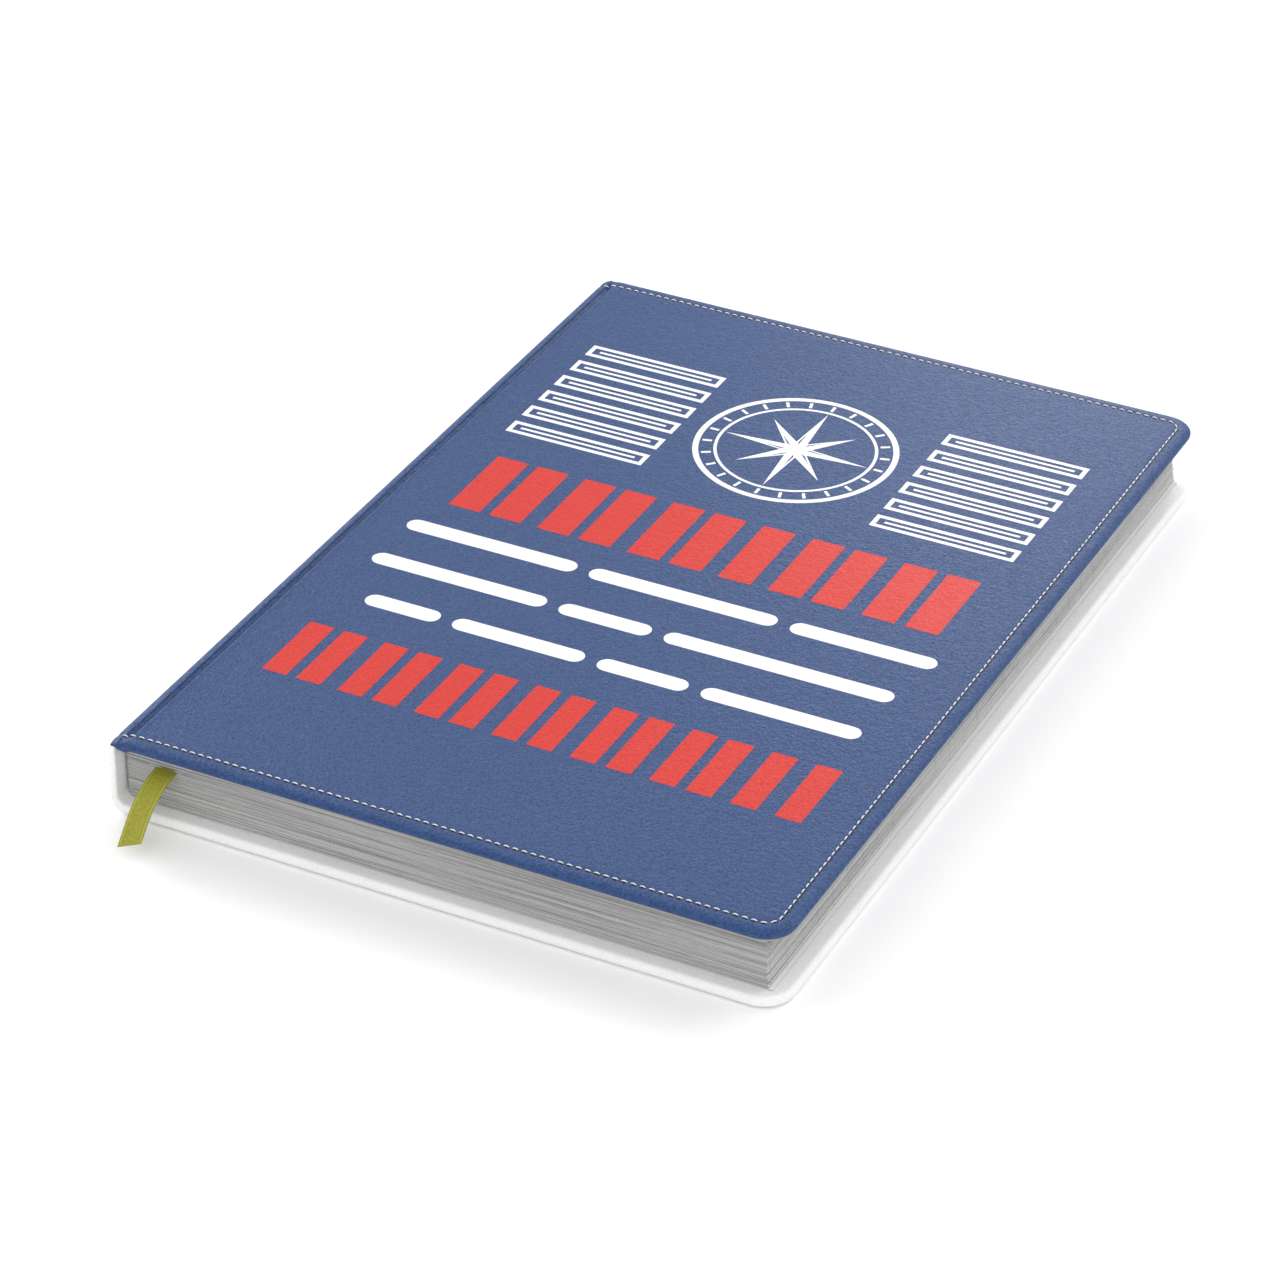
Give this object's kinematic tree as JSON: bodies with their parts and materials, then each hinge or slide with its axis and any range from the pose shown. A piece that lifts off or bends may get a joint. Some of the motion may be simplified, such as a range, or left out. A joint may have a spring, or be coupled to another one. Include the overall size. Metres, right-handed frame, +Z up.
{
  "type": "hardcover pilot logbook",
  "caption": "Hardcover logbook in a padded, stitched imitation-leather case, with a sewn block of leaves, hinged covers and a ribbon marker.",
  "frame": {"origin": "under the middle of the closed book, on the surface that its back cover lies on", "axes": "+X from the spine to the fore-edge, +Y from the tail to the head, +Z up through the closed book"},
  "size_m": [0.1474, 0.228, 0.0179],
  "materials": {
    "blue_leather": "imitation leather with a fine pebble grain, printed blue",
    "white_leather": "plain white imitation leather, smooth, slightly soft sheen",
    "grey_board": "dense grey book board",
    "padding_foam": "thin closed-cell padding",
    "seam_thread": "white polyester seam thread",
    "sewing_thread": "waxed binding thread",
    "mull_cloth": "open-weave starched cotton",
    "lining_paper": "kraft paper",
    "endpaper": "heavy white endpaper, matt",
    "leaf_paper": "uncoated white writing paper, matt",
    "ribbon_satin": "woven satin ribbon with firm selvedges, olive green"
  },
  "bodies": {
    "book_block": {"spine_board": "grey_board", "spine_skin": "white_leather", "front_hinge_skin": "blue_leather", "spine_lining": "lining_paper", "spine_mull": "mull_cloth", "sewing_threads": "sewing_thread", "ribbon_anchor": "ribbon_satin", "ribbon_marker": "ribbon_satin", "ribbon_end": "ribbon_satin", "front_flyleaf_edge": "endpaper", "back_flyleaf": "endpaper", "signature_01_fold": "leaf_paper", "signature_02_fold": "leaf_paper", "signature_03_fold": "leaf_paper", "signature_04": "leaf_paper", "signature_05": "leaf_paper", "signature_06": "leaf_paper", "signature_07": "leaf_paper", "signature_08": "leaf_paper", "signature_09": "leaf_paper", "signature_10": "leaf_paper", "signature_11": "leaf_paper", "signature_12": "leaf_paper", "signature_13": "leaf_paper", "signature_14": "leaf_paper"},
    "front_cover": {"front_cover_board": "grey_board", "front_cover_foam": "padding_foam", "front_cover_skin": "blue_leather", "front_cover_stitching": "seam_thread", "front_mull_flap": "mull_cloth", "front_pastedown": "endpaper"},
    "back_cover": {"back_cover_board": "grey_board", "back_cover_foam": "padding_foam", "back_cover_skin": "white_leather", "back_cover_stitching": "seam_thread", "back_mull_flap": "mull_cloth", "back_pastedown": "endpaper"},
    "front_flyleaf": {"front_flyleaf": "endpaper"},
    "opening_signature_1": {"signature_01_leaves": "leaf_paper"},
    "opening_signature_2": {"signature_02_leaves": "leaf_paper"},
    "opening_signature_3": {"signature_03_leaves": "leaf_paper"}
  },
  "joints": [
    {"name": "front_cover_hinge", "type": "hinge", "parent": "book_block", "child": "front_cover", "pos_m": [-0.07055, 0, 0.01765], "axis": [0, -1, 0], "range_deg": [0, 179]},
    {"name": "back_cover_hinge", "type": "hinge", "parent": "book_block", "child": "back_cover", "pos_m": [-0.07055, 0, 0.00025], "axis": [0, 1, 0], "range_deg": [0, 179]},
    {"name": "front_flyleaf_turn", "type": "hinge", "parent": "book_block", "child": "front_flyleaf", "pos_m": [-0.06405, 0, 0.01496], "axis": [0, -1, 0], "range_deg": [0, 134.1]},
    {"name": "opening_signature_1_turn", "type": "hinge", "parent": "book_block", "child": "opening_signature_1", "pos_m": [-0.06362, 0, 0.01481], "axis": [0, -1, 0], "range_deg": [0, 123.1]},
    {"name": "opening_signature_2_turn", "type": "hinge", "parent": "book_block", "child": "opening_signature_2", "pos_m": [-0.06199, 0, 0.01397], "axis": [0, -1, 0], "range_deg": [0, 112.1]},
    {"name": "opening_signature_3_turn", "type": "hinge", "parent": "book_block", "child": "opening_signature_3", "pos_m": [-0.06066, 0, 0.01313], "axis": [0, -1, 0], "range_deg": [0, 101.1]}
  ],
  "couplings": [
    {"joint": "front_flyleaf_turn", "follows": "front_cover_hinge", "ratio": 0.7486},
    {"joint": "opening_signature_1_turn", "follows": "front_cover_hinge", "ratio": 0.68715},
    {"joint": "opening_signature_2_turn", "follows": "front_cover_hinge", "ratio": 0.6257},
    {"joint": "opening_signature_3_turn", "follows": "front_cover_hinge", "ratio": 0.56425}
  ]
}
